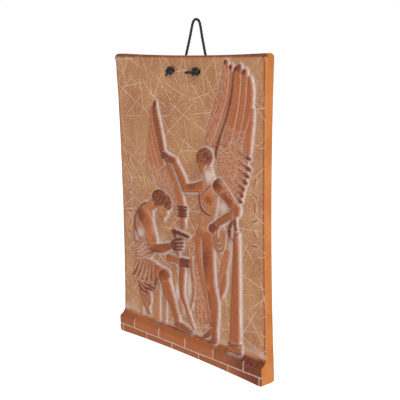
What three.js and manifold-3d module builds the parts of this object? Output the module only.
// A terracotta wall plaque with a low figure relief over a brick base, hung from a nail by a knotted cord.
import * as THREE from 'three';
import { mergeVertices } from 'three/addons/utils/BufferGeometryUtils.js';
import Module from 'manifold-3d';

const wasm = await Module();
wasm.setup();

// Driving dimensions in millimetres: x to the viewer's right, y up from the foot, z out from the flat back.
const WIDTH = 217;
const HEIGHT = 300;
const BASE_DEPTH = 17;
const BASE_HEIGHT = 18;
const CORNER = 4;
const BOW = { right: 3.5, left: 1.5, top: 2, bottom: 2.5 };
const DISH = { floor: 8.8, rise: 1.6, middle: 150, half: 135 };
const LIP = { start: 292, crest: 296, depth: 12.2, edge: 10.4 };
const LEDGE = { top: 24, cove: 20, depth: 13 };
const BRICK = { pitch: 41.5, firstJoint: 1, joint: 1.2, cut: 0.7, courses: 2 };
const HOLE = { radius: 2.8, left: [-16, 284], right: [21, 283] };
const CORD = { diameter: 2.6, bend: 5.2, bendStart: 2.6, gap: 0.35 };
const NAIL = { x: 4.8, y: 326.3 };
const KNOT = { radius: 3.3, strand: 1.45, half: 3.6 };
const BURIED = 6;
const ROUNDNESS = 0.9;

// Where the drawn relief sits on the slab: x becomes shift + scale x + lean y, and y drops a little.
const DRAWING = { shift: -7.7, scale: 0.984, lean: 0.0136, drop: 1.5 };

// Colours of the fired clay and of the cord.
const CLAY = { color: 0xa5694a, roughness: 0.85, metalness: 0 };
const BLACK_CORD = { color: 0x16130f, roughness: 0.9, metalness: 0 };

// Limbs of the relief: every knot is [x, y, half width, crest above the ground].
const SEATED_MAN = {
  farLeg: [[-15, 88, 5, 2.2], [-10, 66, 4.4, 2.2], [-3, 44, 3.2, 2]],
  torso: [[-60, 139, 12, 4.4], [-66, 126, 11, 4.6], [-64, 112, 9, 4.4], [-62, 98, 12, 4.2]],
  neck: [[-58, 144, 6, 4.4], [-46, 151, 6.5, 4.8]],
  upperArm: [[-62, 137, 10, 6.2], [-51.5, 121, 7.4, 6.2], [-45.5, 106, 6.6, 6.6]],
  forearm: [[-45, 104, 5.2, 6.6], [-34, 105.3, 5.6, 6.9], [-20, 110, 4.3, 6.6]],
  thigh: [[-72, 82, 8, 4.8], [-52, 80, 9, 5.6], [-32, 78, 7.4, 6.8]],
  shin: [[-29, 76, 7.2, 7], [-21, 60, 6.4, 6.4], [-12, 45, 4.3, 5.4], [-8, 34, 3.6, 5]],
  foot: [[-8, 31, 4.2, 5.4], [3, 29.8, 3.5, 5], [14, 27.6, 2.2, 4]],
  cloakEdge: [
    [-56, 150, 1, 4.6], [-70, 143, 1.4, 4], [-78, 130, 1.5, 3.6], [-76, 118, 1.5, 4], [-66, 110.5, 1, 4.8],
  ],
  clothHang: [[-70, 72, 8.5, 4], [-56, 71.5, 9, 4.4], [-47, 72, 7, 4.8]],
  clothGather: [[-70, 64, 6, 4.6], [-61, 57, 6, 5]],
};
const YOUTH = {
  rearLeg: [
    [25, 130, 6.4, 4], [25.5, 112, 6.4, 4.2], [29, 93, 5, 4.2],
    [33, 78, 4.4, 4], [38.5, 60, 4.2, 3.6], [42.5, 42, 2.8, 3.6],
  ],
  rearFoot: [[43, 36, 3.4, 4.2], [38, 31, 3.2, 4.2], [32.5, 27.6, 2.2, 3.8]],
  torso: [[39, 174, 13.5, 5.2], [38, 158, 11.5, 5.2], [35, 146, 9.6, 5], [33, 134, 10.4, 5.2]],
  frontLeg: [
    [37, 130, 8, 5.4], [38.5, 110, 7.9, 6.2], [40, 95, 7, 6], [42.5, 82, 6, 6],
    [46.5, 66, 6.6, 5.8], [48.6, 50, 4.4, 5], [48.6, 38, 3.2, 4.8],
  ],
  frontFoot: [[48.6, 35, 3.8, 5], [48, 28, 4.4, 5]],
  neck: [[41, 184, 6, 4.6], [37, 196, 5.5, 5]],
  reachingArm: [[31, 177.5, 6, 5.4], [18, 174.3, 5.2, 5.4], [6, 172.6, 5, 5.6]],
  reachingForearm: [[5, 173.5, 5, 5.6], [-2, 185, 4.4, 5.2], [-10, 196, 3.6, 5]],
  reachingHand: [[-11, 197.6, 4, 5.2], [-18, 199, 4.6, 5.4], [-25, 203.5, 2.6, 5]],
  hipArm: [[54, 180, 8.2, 6], [66, 171.5, 6.6, 5.8], [77.5, 161, 5.4, 5.8]],
  hipForearm: [[77.5, 158.5, 4.6, 5.6], [64, 151.6, 4.4, 5.4], [51, 144, 4.2, 5.6]],
  hipHand: [[50, 142, 4.8, 5.8], [45, 138.5, 5, 5.8]],
  strap: [[30, 173, 1, 6.2], [34.5, 161, 1, 6.2], [45, 152.5, 1, 5.6]],
};
const STANDING_WING = {
  blade: [[-43, 240, 4, 1.6], [-43, 220, 9, 1.7], [-40, 198, 12, 1.8]],
  coverts: [[-46, 186, 10, 1.6], [-32, 180, 13, 1.8], [-17, 166, 10, 1.8], [-8, 148, 7, 1.6]],
  bone: [
    [-21, 194, 3.2, 3.6], [-15, 183, 4, 3.8], [-7, 168, 4.4, 3.8],
    [-0.5, 153, 4.4, 3.8], [0.5, 134, 3.4, 3.4],
  ],
};
const YOUTH_WINGS = {
  rearBlade: [[40, 222, 8, 1.6], [50, 243, 8.5, 1.8], [60, 265, 8, 1.8], [66, 286, 6, 1.8]],
  frontBlade: [[83, 284, 6, 1.9], [84, 263, 10.5, 2.1], [79, 241, 13.5, 2.3]],
  frontCoverts: [[76, 232, 15, 2.2], [71, 208, 21, 2.4], [73, 190, 16.5, 2.4], [78, 173, 7, 2.2]],
  leadingEdge: [
    [76.5, 288, 1.4, 4.4], [73, 266, 1.8, 4.8], [66, 246, 1.8, 4.8],
    [57, 229, 1.8, 4.8], [50.5, 214, 2, 4.8], [51, 202, 1.6, 4],
  ],
};
const LYING_WING = {
  coverts: [[18, 100, 4, 1], [24, 76, 8.5, 1.3], [29, 50, 12, 1.3]],
  bone: [[12.5, 104, 1.6, 3], [14, 90, 2, 3.2], [16.4, 72, 2.3, 3.2], [14.6, 60, 1.9, 3], [11, 51, 1, 2.6]],
};
const BENCH_LEG = [
  [-1, 92, 4.4, 4.4], [-2, 76, 4.3, 4.2], [-1, 64, 3.2, 4],
  [4, 54, 2.2, 3.6], [10, 43, 1.7, 3.4], [17, 31, 1.3, 3.2],
];
const POST = { x: 77, top: 140, foot: 24, halfTop: 3.2, halfFoot: 7.2, crest: 5, ring: 32 };

// Feathers: [tip x, tip y, root x, root y, half width, crest, sideways bow].
const FEATHERS = [
  [-40, 255, -29.5, 203, 4.4, 3.8, 3],
  [-46, 250, -34, 189, 3.2, 3.2, 2.5],
  [-51, 231, -38.5, 184, 2.8, 2.9, 2],
  [-54, 220, -43, 180, 2.6, 2.7, 2],
  [-57, 206, -47.5, 177, 2.3, 2.5, 1.5],
  [61.5, 296, 36, 221, 3.8, 2.9, -13],
  [70, 291, 48, 232, 3.6, 2.6, -9],
  [79.5, 292, 58, 224, 4.2, 4.2, -13],
  [88.5, 287, 74, 230, 3.8, 3.8, -6],
  [94.5, 279, 82, 225, 3.4, 3.6, -4],
  [97, 256, 87, 220, 2.8, 3.2, -2],
  [54, 86, 66, 124, 3.2, 3, 2.5],
  [55, 74, 63, 100, 2.8, 2.8, 2],
];
const FEATHER_TIPS = {
  count: 8, top: [90.5, 208.5], low: [81, 169], bulge: 6, length: 10, half: 1.9, crest: 3.4,
};

// Thin folds of the cloth: each loop lists its first fold, its last fold and how many folds there are.
const WAIST_FOLDS = {
  count: 4, first: [[-78, 91], [-57, 95]], last: [[-77, 102], [-58, 109]], half: 2.4, crest: 5.6,
};
const LAP_FOLDS = {
  count: 5, first: [[-43, 86], [-44, 63]], last: [[-73, 87], [-78, 64]], half: 2.1, crest: 6.4,
};
const TAIL_FOLDS = {
  count: 3, first: [[-66, 52], [-61, 32]], last: [[-57, 51], [-56, 31]], half: 1.8, crest: 3.4,
};
const HANGING_FOLDS = {
  count: 3, x: 55.5, y: 134, radii: [9.5, 6.3, 3.2], drop: 1.75, half: 1.5, crest: 3.8,
};
const ELBOW_FOLDS = {
  count: 2, first: [[72, 151], [69.5, 132]], last: [[77, 158], [76.5, 142]], half: 2.2, crest: 4.6,
};

// Fingers of the three hands, each [x from, y from, x to, y to].
const FIST_FINGERS = [
  [-9, 119, -1, 120], [-8, 115.6, 0, 116.4], [-8, 112.2, -0.5, 112.8], [-9, 109, -2, 109],
];
const FAR_FINGERS = [153.4, 150.2, 147.1, 144.3].map((y, i) => [-3 + 0.4 * i, y, 5.4 - 0.2 * i, y]);
const REACHING_FINGERS = [[-20, 197, -26.5, 199], [-20, 199.4, -27, 202], [-19, 202, -26, 205]];

// Inscribed columns: plain strokes that stand where the marks stand.
const MARKS = [
  { x: -88, top: 194, low: 114, count: 8, length: 6.5 },
  { x: 100, top: 188, low: 130, count: 6, length: 6.5 },
];
const MARK = { half: 0.7, crest: 0.8, tilts: [20, -60, 0, 65, -35, 90] };

// Height of the hollowed ground at a level y.
const groundAt = (y) => DISH.floor + DISH.rise * ((y - DISH.middle) / DISH.half) ** 2;

// Turns a closed geometry into a solid that can be joined and cut.
function solid(geometry) {
  const bare = geometry.clone();
  bare.deleteAttribute('normal');
  bare.deleteAttribute('uv');
  const merged = mergeVertices(bare, 1e-4);
  const mesh = new wasm.Mesh({
    numProp: 3,
    vertProperties: new Float32Array(merged.attributes.position.array),
    triVerts: new Uint32Array(merged.index.array),
  });
  return new wasm.Manifold(mesh);
}

// Turns a solid back into a geometry.
function geometryOf(body) {
  const mesh = body.getMesh();
  const geometry = new THREE.BufferGeometry();
  geometry.setAttribute('position', new THREE.BufferAttribute(mesh.vertProperties, 3));
  geometry.setIndex(new THREE.BufferAttribute(mesh.triVerts, 1));
  geometry.computeVertexNormals();
  return geometry;
}

// Skins a row of like rings with side faces and two flat ends.
function skin(rings) {
  const around = rings[0].length / 3;
  const index = [];
  for (let i = 0; i < rings.length - 1; i++) {
    for (let k = 0; k < around; k++) {
      const a = i * around + k;
      const b = i * around + ((k + 1) % around);
      index.push(a, b, b + around, a, b + around, a + around);
    }
  }
  const last = (rings.length - 1) * around;
  for (let k = 1; k < around - 1; k++) {
    index.push(0, k + 1, k);
    index.push(last, last + k, last + k + 1);
  }
  const geometry = new THREE.BufferGeometry();
  geometry.setAttribute('position', new THREE.Float32BufferAttribute(rings.flat(), 3));
  geometry.setIndex(index);
  return solid(geometry);
}

// One ring of a limb: half an ellipse standing on straight sides that run down into the slab.
function limbRing(point, along, half, crest, shrink, arc) {
  const depth = Math.min(crest, ROUNDNESS * half);
  const level = groundAt(point.y) + crest - depth;
  const ring = [];
  const place = (side, z) => ring.push(point.x - along.y * side, point.y + along.x * side, z);
  for (let k = 0; k <= arc; k++) {
    const angle = (Math.PI * k) / arc;
    place(half * shrink * Math.cos(angle), level + depth * shrink * Math.sin(angle));
  }
  place(-half * shrink, BURIED);
  place(half * shrink, BURIED);
  return ring;
}

// A rounded limb that follows its knots, with blunt ends a little past the first and the last.
function limb(knots, { arc = 4, caps = [0.85] } = {}) {
  const through = (pick) => new THREE.CatmullRomCurve3(knots.map(pick), false, 'catmullrom', 0.5);
  const spine = through(([x, y]) => new THREE.Vector3(x, y, 0));
  const girth = through(([, , half, crest]) => new THREE.Vector3(half, crest, 0));
  const spans = knots.length - 1;
  const rings = [];
  const add = (t, past, shrink) => {
    const along = spine.getTangent(t);
    const { x: half, y: crest } = girth.getPoint(t);
    const point = spine.getPoint(t).addScaledVector(along, past * half);
    rings.push(limbRing(point, along, half, crest, shrink, arc));
  };
  for (const past of [...caps].reverse()) add(0, -past, Math.sqrt(1 - past * past));
  for (let i = 0; i <= spans; i++) add(i / spans, 0, 1);
  for (const past of caps) add(1, past, Math.sqrt(1 - past * past));
  return skin(rings);
}

// A thin ridge with a three-point crest, for fingers, folds and feathers.
const ridge = (knots) => limb(knots, { arc: 2, caps: [] });

// A dome with an elliptical foot.
function dome(x, y, halfX, halfY, crest, sides = 9) {
  const depth = Math.min(crest, ROUNDNESS * Math.min(halfX, halfY));
  const level = groundAt(y) + crest - depth;
  const rise = [[1, 0], [0.82, 0.57], [0.45, 0.89], [0.08, 1]];
  const rings = [[1, BURIED], ...rise.map(([shrink, lift]) => [shrink, level + lift * depth])];
  const ringAt = ([shrink, z]) =>
    Array.from({ length: sides }, (_, k) => (2 * Math.PI * k) / sides).flatMap((angle) => [
      x + halfX * shrink * Math.cos(angle),
      y + halfY * shrink * Math.sin(angle),
      z,
    ]);
  return skin(rings.map(ringAt));
}

// A square-edged block that stands on the ground.
function block(x0, x1, y0, y1, crest) {
  const top = groundAt((y0 + y1) / 2) + crest;
  const box = new THREE.BoxGeometry(x1 - x0, y1 - y0, top - BURIED);
  return solid(box.translate((x0 + x1) / 2, (y0 + y1) / 2, (top + BURIED) / 2));
}

// Value between a and b, number by number.
const between = (a, b, t) => a.map((v, i) => v + (b[i] - v) * t);

// A bundle of folds spread from the first fold to the last, each bowed a little.
function folds({ count, first, last, half, crest }, bow) {
  return Array.from({ length: count }, (_, i) => i / Math.max(1, count - 1)).map((t) => {
    const from = between(first[0], last[0], t);
    const to = between(first[1], last[1], t);
    const middle = between(from, to, 0.5);
    return ridge([
      [...from, half * 0.7, crest * 0.8],
      [middle[0] + bow[0], middle[1] + bow[1], half, crest],
      [...to, half * 0.8, crest * 0.85],
    ]);
  });
}

// A long feather, pointed at its tip and bowed to one side.
function feather([tipX, tipY, rootX, rootY, half, crest, bow]) {
  const length = Math.hypot(rootX - tipX, rootY - tipY);
  const side = [(rootY - tipY) / length, (tipX - rootX) / length];
  const widths = [[0, 0.35], [0.12, 0.85], [0.5, 1], [1, 0.8]];
  const knots = widths.map(([t, width]) => {
    const [x, y] = between([tipX, tipY], [rootX, rootY], t);
    const off = bow * 4 * t * (1 - t) * Math.sign(rootX - tipX) * -0.5;
    return [x + side[0] * off, y + side[1] * off, half * width, crest * (0.75 + 0.25 * Math.min(1, 3 * t))];
  });
  return ridge(knots);
}

// The row of short feather tips on the low edge of the front wing.
function featherTips({ count, top, low, bulge, length, half, crest }) {
  return Array.from({ length: count }, (_, i) => i / (count - 1)).map((t) => {
    const [x, y] = between(top, low, t);
    const tipX = x + bulge * 4 * t * (1 - t) * (1 - t);
    const slope = THREE.MathUtils.degToRad(28 + 40 * t);
    return ridge([
      [tipX, y, half * 0.6, crest],
      [tipX - length * 0.4 * Math.cos(slope), y + length * 0.4 * Math.sin(slope), half, crest],
      [tipX - length * Math.cos(slope), y + length * Math.sin(slope), half * 0.7, crest * 0.85],
    ]);
  });
}

// The cloth that hangs in nested loops below the hand on the hip.
function hangingFolds({ count, x, y, radii, drop, half, crest }) {
  return Array.from({ length: count }, (_, i) => radii[i]).map((r) =>
    ridge([
      [x - r, y + 2, half, crest],
      [x - 0.75 * r, y - 0.65 * drop * r, half, crest],
      [x, y - drop * r, half, crest],
      [x + 0.75 * r, y - 0.6 * drop * r, half * 0.8, crest * 0.8],
    ]),
  );
}

// Straight fingers.
const fingers = (rows, half, crest) =>
  rows.map(([x0, y0, x1, y1]) => ridge([[x0, y0, half, crest], [x1, y1, half, crest]]));

// A round of short locks of hair over a dome.
function locks(x, y, halfX, halfY, crest, count, from, to) {
  return Array.from({ length: count }, (_, i) => from + ((to - from) * i) / (count - 1)).map((degrees) => {
    const angle = THREE.MathUtils.degToRad(degrees);
    const reach = (scale) => [x + halfX * scale * Math.cos(angle), y + halfY * scale * Math.sin(angle)];
    return ridge([[...reach(0.45), 1.6, crest], [...reach(0.92), 2, crest * 0.72]]);
  });
}

// A stroke of the inscribed columns.
function stroke(x, y, length, degrees) {
  const angle = THREE.MathUtils.degToRad(degrees);
  const reach = [(length / 2) * Math.sin(angle), (length / 2) * Math.cos(angle)];
  return ridge([
    [x - reach[0], y - reach[1], MARK.half, MARK.crest],
    [x + reach[0], y + reach[1], MARK.half, MARK.crest],
  ]);
}

// The slab's outline, every edge bowed inwards and every corner rounded.
function slabOutline() {
  const half = WIDTH / 2;
  const shape = new THREE.Shape();
  shape.moveTo(-half + CORNER, 0);
  shape.quadraticCurveTo(0, 2 * BOW.bottom, half - CORNER, 0);
  shape.quadraticCurveTo(half, 0, half, CORNER);
  shape.quadraticCurveTo(half - 2 * BOW.right, HEIGHT / 2, half, HEIGHT - CORNER);
  shape.quadraticCurveTo(half, HEIGHT, half - CORNER, HEIGHT);
  shape.quadraticCurveTo(0, HEIGHT - 2 * BOW.top, -half + CORNER, HEIGHT);
  shape.quadraticCurveTo(-half, HEIGHT, -half, HEIGHT - CORNER);
  shape.quadraticCurveTo(-half + 2 * BOW.left, HEIGHT / 2, -half, CORNER);
  shape.quadraticCurveTo(-half, 0, -half + CORNER, 0);
  return shape;
}

// What is hollowed out in front of the ground, from the ledge over the base up to the top lip.
function groundHollow() {
  const front = BASE_DEPTH + 5;
  const levels = 10;
  const profile = [[front, BASE_HEIGHT], [BASE_DEPTH, BASE_HEIGHT], [LEDGE.depth, LEDGE.cove]];
  for (let i = 0; i <= levels; i++) {
    const y = LEDGE.top + ((LIP.start - LEDGE.top) * i) / levels;
    profile.push([groundAt(y), y]);
  }
  profile.push([LIP.depth, LIP.crest], [LIP.edge, HEIGHT + 1], [front, HEIGHT + 1]);
  const shape = new THREE.Shape(profile.map(([z, y]) => new THREE.Vector2(z, y)));
  const length = WIDTH + 20;
  const prism = new THREE.ExtrudeGeometry(shape, { depth: length, bevelEnabled: false });
  return solid(prism.translate(0, 0, -length / 2).rotateY(-Math.PI / 2));
}

// The joints between the bricks of the base.
function brickJoints() {
  const course = BASE_HEIGHT / BRICK.courses;
  const cut = (x, y, wide, tall) => {
    const box = new THREE.BoxGeometry(wide, tall, 2 * BRICK.cut);
    return solid(box.translate(x, y, BASE_DEPTH));
  };
  const joints = [cut(0, course, WIDTH + 10, BRICK.joint)];
  for (let row = 0; row < BRICK.courses; row++) {
    const shift = BRICK.firstJoint + (row ? 0 : BRICK.pitch / 2);
    for (let n = -3; n <= 3; n++) {
      const x = shift + n * BRICK.pitch;
      if (Math.abs(x) < WIDTH / 2 - CORNER) joints.push(cut(x, course * (row + 0.5), BRICK.joint, course));
    }
  }
  return joints;
}

// The round holes that the cord passes through.
function cordHole([x, y]) {
  const bore = new THREE.CylinderGeometry(HOLE.radius, HOLE.radius, 3 * BASE_DEPTH, 16);
  return solid(bore.rotateX(Math.PI / 2).translate(x, y, 0));
}

// The seated man at the bench, with the mallet in one hand.
function seatedMan() {
  const figure = Object.entries(SEATED_MAN).map(([name, knots]) =>
    name === 'cloakEdge' ? ridge(knots) : limb(knots),
  );
  return [
    ...figure,
    dome(-34, 157, 16, 11.5, 6.2, 11),
    dome(-36, 143, 10, 8.5, 5.2),
    ...locks(-34, 157, 16, 11.5, 6.8, 7, -25, 205),
    ...locks(-36, 143, 10, 9.5, 5.4, 3, 235, 305),
    dome(-28, 78.5, 8.5, 6.8, 7.4),
    dome(-11, 113.5, 7, 6.2, 7),
    ...fingers(FIST_FINGERS, 1.6, 7.2),
    limb([[-14, 127, 2.2, 6.4], [7.5, 124.2, 2.2, 6.4]]),
    ridge([[-12, 125, 1.6, 5], [-11, 117, 1.6, 5]]),
    ridge([[-8, 108, 1.6, 5], [-7, 103, 1.6, 4.4]]),
    ...folds(WAIST_FOLDS, [0, -1.5]),
    ...folds(LAP_FOLDS, [2, 0]),
    ...folds(TAIL_FOLDS, [2, 0]),
  ];
}

// The bench with its curved leg, and the stool below the cloth.
function furniture() {
  return [
    block(-25, 11.5, 93, 101.5, 4.6),
    block(5, 12, 92.2, 102.4, 5.4),
    limb(BENCH_LEG),
    block(-48, -38, 26, 68, 2.8),
    block(-33, -27, 26, 68, 2.4),
    block(-73, -67, 26, 60, 1.8),
  ];
}

// The wing held upright on the bench, gripped by the far hand, and the wing that leans below the bench.
function looseWings() {
  return [
    limb(STANDING_WING.blade),
    limb(STANDING_WING.coverts),
    limb(STANDING_WING.bone),
    limb(LYING_WING.coverts),
    limb(LYING_WING.bone),
    ...fingers(FAR_FINGERS, 1.5, 5.6),
  ];
}

// The winged youth who stands at the right.
function youth() {
  const figure = Object.entries(YOUTH).map(([name, knots]) =>
    name === 'strap' ? ridge(knots) : limb(knots),
  );
  return [
    ...figure,
    dome(35, 204, 12.5, 10.5, 6.4, 11),
    dome(31.5, 195, 6.2, 7.5, 5.6),
    ...locks(35, 204, 12.5, 10.5, 6.8, 7, -10, 190),
    ...fingers(REACHING_FINGERS, 1.4, 5.6),
    ...folds(ELBOW_FOLDS, [-2, 0]),
    ...hangingFolds(HANGING_FOLDS),
    limb(YOUTH_WINGS.rearBlade),
    limb(YOUTH_WINGS.frontBlade),
    limb(YOUTH_WINGS.frontCoverts),
    ridge(YOUTH_WINGS.leadingEdge),
    ...featherTips(FEATHER_TIPS),
  ];
}

// The tapered post behind the youth's arm, on its moulded foot.
function post() {
  const { x, top, foot, halfTop, halfFoot, crest, ring } = POST;
  return [
    limb([[x + 0.5, top - halfTop, halfTop, crest], [x - 0.5, ring + 5, halfFoot, crest]]),
    limb([[x - 8, ring, 1.6, crest + 1], [x + 8, ring, 1.6, crest + 1]]),
    block(x - 9.5, x + 9.5, foot - 2, ring - 1.5, crest),
  ];
}

// The two columns of strokes.
function inscription() {
  return MARKS.flatMap(({ x, top, low, count, length }) =>
    Array.from({ length: count }, (_, i) =>
      stroke(x, top + ((low - top) * i) / (count - 1), length, MARK.tilts[i % MARK.tilts.length]),
    ),
  );
}

// The whole casting: slab, base and relief in one solid.
function plaque() {
  const extrusion = { depth: BASE_DEPTH, bevelEnabled: false, curveSegments: 6 };
  const slab = solid(new THREE.ExtrudeGeometry(slabOutline(), extrusion));
  const figures = [...seatedMan(), ...furniture(), ...youth(), ...post()];
  const relief = [...looseWings(), ...FEATHERS.map(feather), ...figures, ...inscription()];
  const cuts = [...brickJoints(), cordHole(HOLE.left), cordHole(HOLE.right)];
  const { shift, scale, lean, drop } = DRAWING;
  const placing = [scale, 0, 0, 0, lean, 1, 0, 0, 0, 0, 1, 0, shift, -drop, 0, 1];
  const placed = relief.map((form) => form.transform(placing));
  const cast = placed.reduce((whole, form) => whole.add(form), slab.subtract(groundHollow()));
  return geometryOf(cuts.reduce((whole, cut) => whole.subtract(cut), cast));
}

// The bend that takes the cord from the hole to its rise behind the slab, hole first.
function bendPoints([x, y], target) {
  const rise = new THREE.Vector2(target[0] - x, target[1] - y).normalize();
  const front = [x, y, groundAt(y) - CORD.gap];
  const turn = [0, 30, 60, 90].map((degrees) => {
    const angle = THREE.MathUtils.degToRad(degrees);
    const lift = CORD.bend * (1 - Math.cos(angle));
    return [x + rise.x * lift, y + rise.y * lift, CORD.bendStart - CORD.bend * Math.sin(angle)];
  });
  return [front, [x, y, (front[2] + CORD.bendStart) / 2], ...turn];
}

// The cord's route: out of the left hole, up behind the slab, round the nail and down to the right hole.
function cordRoute() {
  const leftTop = [NAIL.x - CORD.bend, NAIL.y];
  const rightTop = [NAIL.x + CORD.bend, NAIL.y];
  const behind = CORD.bendStart - CORD.bend;
  const leftBend = bendPoints(HOLE.left, leftTop);
  const rightBend = bendPoints(HOLE.right, rightTop);
  const rise = (bend, top) => [0.35, 0.7].map((t) => between(bend.at(-1), [...top, behind], t));
  const loop = [160, 125, 90, 55, 20].map((degrees) => {
    const angle = THREE.MathUtils.degToRad(degrees);
    return [NAIL.x + CORD.bend * Math.cos(angle), NAIL.y + CORD.bend * Math.sin(angle), behind];
  });
  const left = [...leftBend, ...rise(leftBend, leftTop)];
  const right = [...rightBend, ...rise(rightBend, rightTop)];
  return [...left, ...loop, ...right.reverse()];
}

// A round section with eight sides.
function cordSection(radius) {
  const sides = 8;
  const corner = (_, k) => {
    const angle = (2 * Math.PI * k) / sides;
    return new THREE.Vector2(radius * Math.cos(angle), radius * Math.sin(angle));
  };
  return new THREE.Shape(Array.from({ length: sides }, corner));
}

// A tube of the cord's section along a smooth curve through the points.
function cordTube(points, steps) {
  const path = new THREE.CatmullRomCurve3(points.map((p) => new THREE.Vector3(...p)));
  const section = cordSection(CORD.diameter / 2);
  return new THREE.ExtrudeGeometry(section, { steps, bevelEnabled: false, extrudePath: path });
}

// A stopper knot on the front of the slab: a core, two crossing turns and a loose tail.
function knot([x, y], tail) {
  const floor = groundAt(y) + CORD.gap;
  const centre = [x, y, floor + KNOT.half];
  const core = solid(new THREE.SphereGeometry(KNOT.radius, 7, 5).translate(...centre));
  const turns = [35, -40].map((degrees) => {
    const ring = new THREE.TorusGeometry(KNOT.radius, KNOT.strand, 5, 8);
    ring.rotateY(THREE.MathUtils.degToRad(degrees / 2));
    ring.rotateX(THREE.MathUtils.degToRad(degrees));
    return solid(ring.translate(...centre));
  });
  const rest = floor + CORD.diameter / 2;
  const halfway = [x + tail[0] * 0.6, y + tail[1] * 0.6, rest + 0.8];
  const end = solid(cordTube([centre, halfway, [x + tail[0], y + tail[1], rest]], 5));
  const above = new THREE.BoxGeometry(60, 60, 40).translate(x, y, floor + 20);
  const whole = [...turns, end].reduce((body, turn) => body.add(turn), core);
  return geometryOf(whole.intersect(solid(above)));
}

// A named sub-part with its own material.
function part(name, geometry, finish) {
  const mesh = new THREE.Mesh(geometry, new THREE.MeshStandardMaterial(finish));
  mesh.name = name;
  return mesh;
}

// The plaque hangs with the point where the nail carries the cord at the origin, its back towards +Y.
const hung = new THREE.Group();
hung.add(part('plaque', plaque(), CLAY));
hung.add(part('hanging_cord', cordTube(cordRoute(), 36), BLACK_CORD));
hung.add(part('knot_left', knot(HOLE.left, [-8, -4.5]), BLACK_CORD));
hung.add(part('knot_right', knot(HOLE.right, [-16, -0.8]), BLACK_CORD));
hung.rotation.x = Math.PI / 2;
hung.position.set(-NAIL.x, CORD.bendStart - CORD.bend, -(NAIL.y + CORD.bend - CORD.diameter / 2));

const wallPlaque = new THREE.Group();
wallPlaque.add(hung);

export default wallPlaque;
